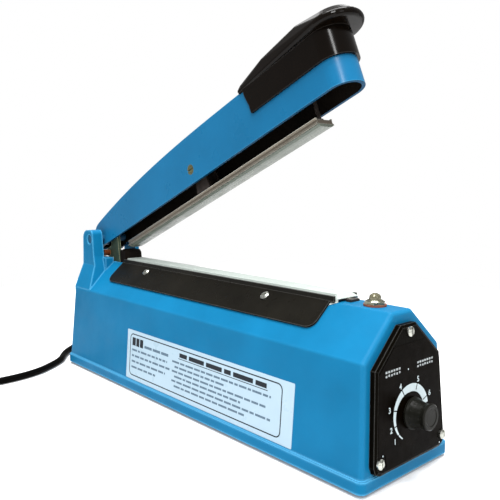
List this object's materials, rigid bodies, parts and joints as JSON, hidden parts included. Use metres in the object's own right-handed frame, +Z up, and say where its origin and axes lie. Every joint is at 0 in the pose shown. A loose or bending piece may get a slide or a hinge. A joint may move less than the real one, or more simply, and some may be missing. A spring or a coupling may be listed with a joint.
{
  "type": "impulse heat sealer",
  "caption": "Hand-operated impulse heat sealer with a hinged lift-up arm, floating press bar, heated sealing bed, timer knob and mains lead.",
  "frame": {"origin": "centre of the bounding box of the machine without its cord, on the plane the feet stand on", "axes": "+X towards the knob end, +Y away from the labelled side, +Z up"},
  "size_m": [0.4146, 0.232, 0.2524],
  "materials": {
    "blue_paint": "satin, slightly rippled",
    "black_plastic": "satin moulding",
    "gloss_black": "glossy moulding",
    "black_steel": "semi-gloss black paint",
    "zinc": "zinc plated",
    "yellow_zinc": "yellow passivated",
    "aluminium": "mill finish",
    "brass": "plain",
    "silicone": "translucent silicone",
    "ptfe": "coated glass cloth",
    "label": "printed film",
    "rubber": "matt",
    "lamp": "tinted",
    "copper": "varnished winding",
    "core": "laminated",
    "board": "laminate",
    "component": "moulded",
    "nylon": "nylon",
    "fibre": "fibre washer",
    "brown_steel": "oiled",
    "nichrome": "plain"
  },
  "bodies": {
    "base": {"body_shell": "blue_paint", "bottom_plate": "zinc", "bottom_screws": "zinc", "rubber_feet": "rubber", "front_panel": "gloss_black", "panel_screws": "zinc", "dial_label": "black_plastic", "potentiometer": "component", "potentiometer_nut": "zinc", "lamp_gasket": "fibre", "lamp_bezel": "zinc", "lamp_lens": "lamp", "seal_rail": "aluminium", "rail_screws": "zinc", "rail_tape": "fibre", "heating_wire": "nichrome", "ptfe_cloth": "ptfe", "clamp_strip_near": "black_steel", "clamp_strip_far": "black_steel", "clamp_screws": "zinc", "front_terminal": "brass", "rear_terminal": "brass", "terminal_cover": "black_plastic", "transformer_core": "core", "transformer_coil": "copper", "transformer_strap": "zinc", "circuit_board": "board", "board_posts": "nylon", "relay": "component", "capacitor": "component", "mains_block": "nylon", "microswitch": "black_plastic", "switch_bracket": "zinc", "spring_anchor": "zinc", "lift_spring": "zinc", "hinge_pin": "zinc", "hinge_clips": "zinc", "info_label": "label", "strain_relief": "rubber", "power_cord": "rubber", "cord_coil": "rubber", "cord_tie": "nylon", "plug_body": "rubber", "plug_pins": "brass"},
    "arm": {"arm_shell": "blue_paint", "handle_cover": "gloss_black", "handle_screws": "zinc", "lift_lever": "yellow_zinc", "lever_rivets": "zinc", "spring_pin": "brown_steel", "pivot_screw": "brass", "pivot_nut": "zinc"},
    "jaw": {"press_bar": "aluminium", "bar_bracket": "zinc", "guide_pin": "brown_steel", "silicone_strip": "silicone"},
    "knob": {"timer_knob": "black_plastic", "knob_shaft": "zinc"},
    "leaf": {"switch_lever": "zinc"}
  },
  "joints": [
    {"name": "arm_hinge", "type": "hinge", "parent": "base", "child": "arm", "pos_m": [-0.14965, 0, 0.1083], "axis": [0, 1, 0], "range_deg": [0, 20.98], "stiffness_Nm_per_rad": 0.8, "springref_deg": -74.48, "deforming": ["lift_spring"]},
    {"name": "press_bar_tilt", "type": "hinge", "parent": "arm", "child": "jaw", "pos_m": [-0.02248, 0, 0.16534], "axis": [0, 1, 0], "range_deg": [0, 1.37]},
    {"name": "timer_knob_turn", "type": "hinge", "parent": "base", "child": "knob", "pos_m": [0.15421, 0, 0.03568], "axis": [0.9981, 0, 0.0619], "range_deg": [-135, 135]},
    {"name": "switch_leaf_swing", "type": "hinge", "parent": "base", "child": "leaf", "pos_m": [-0.14965, -0.0054, 0.046], "axis": [0, 1, 0], "range_deg": [-7.6, 0]}
  ],
  "couplings": [
    {"joint": "press_bar_tilt", "follows": "arm_hinge", "ratio": 0.0653},
    {"joint": "switch_leaf_swing", "follows": "arm_hinge", "ratio": -0.35}
  ]
}
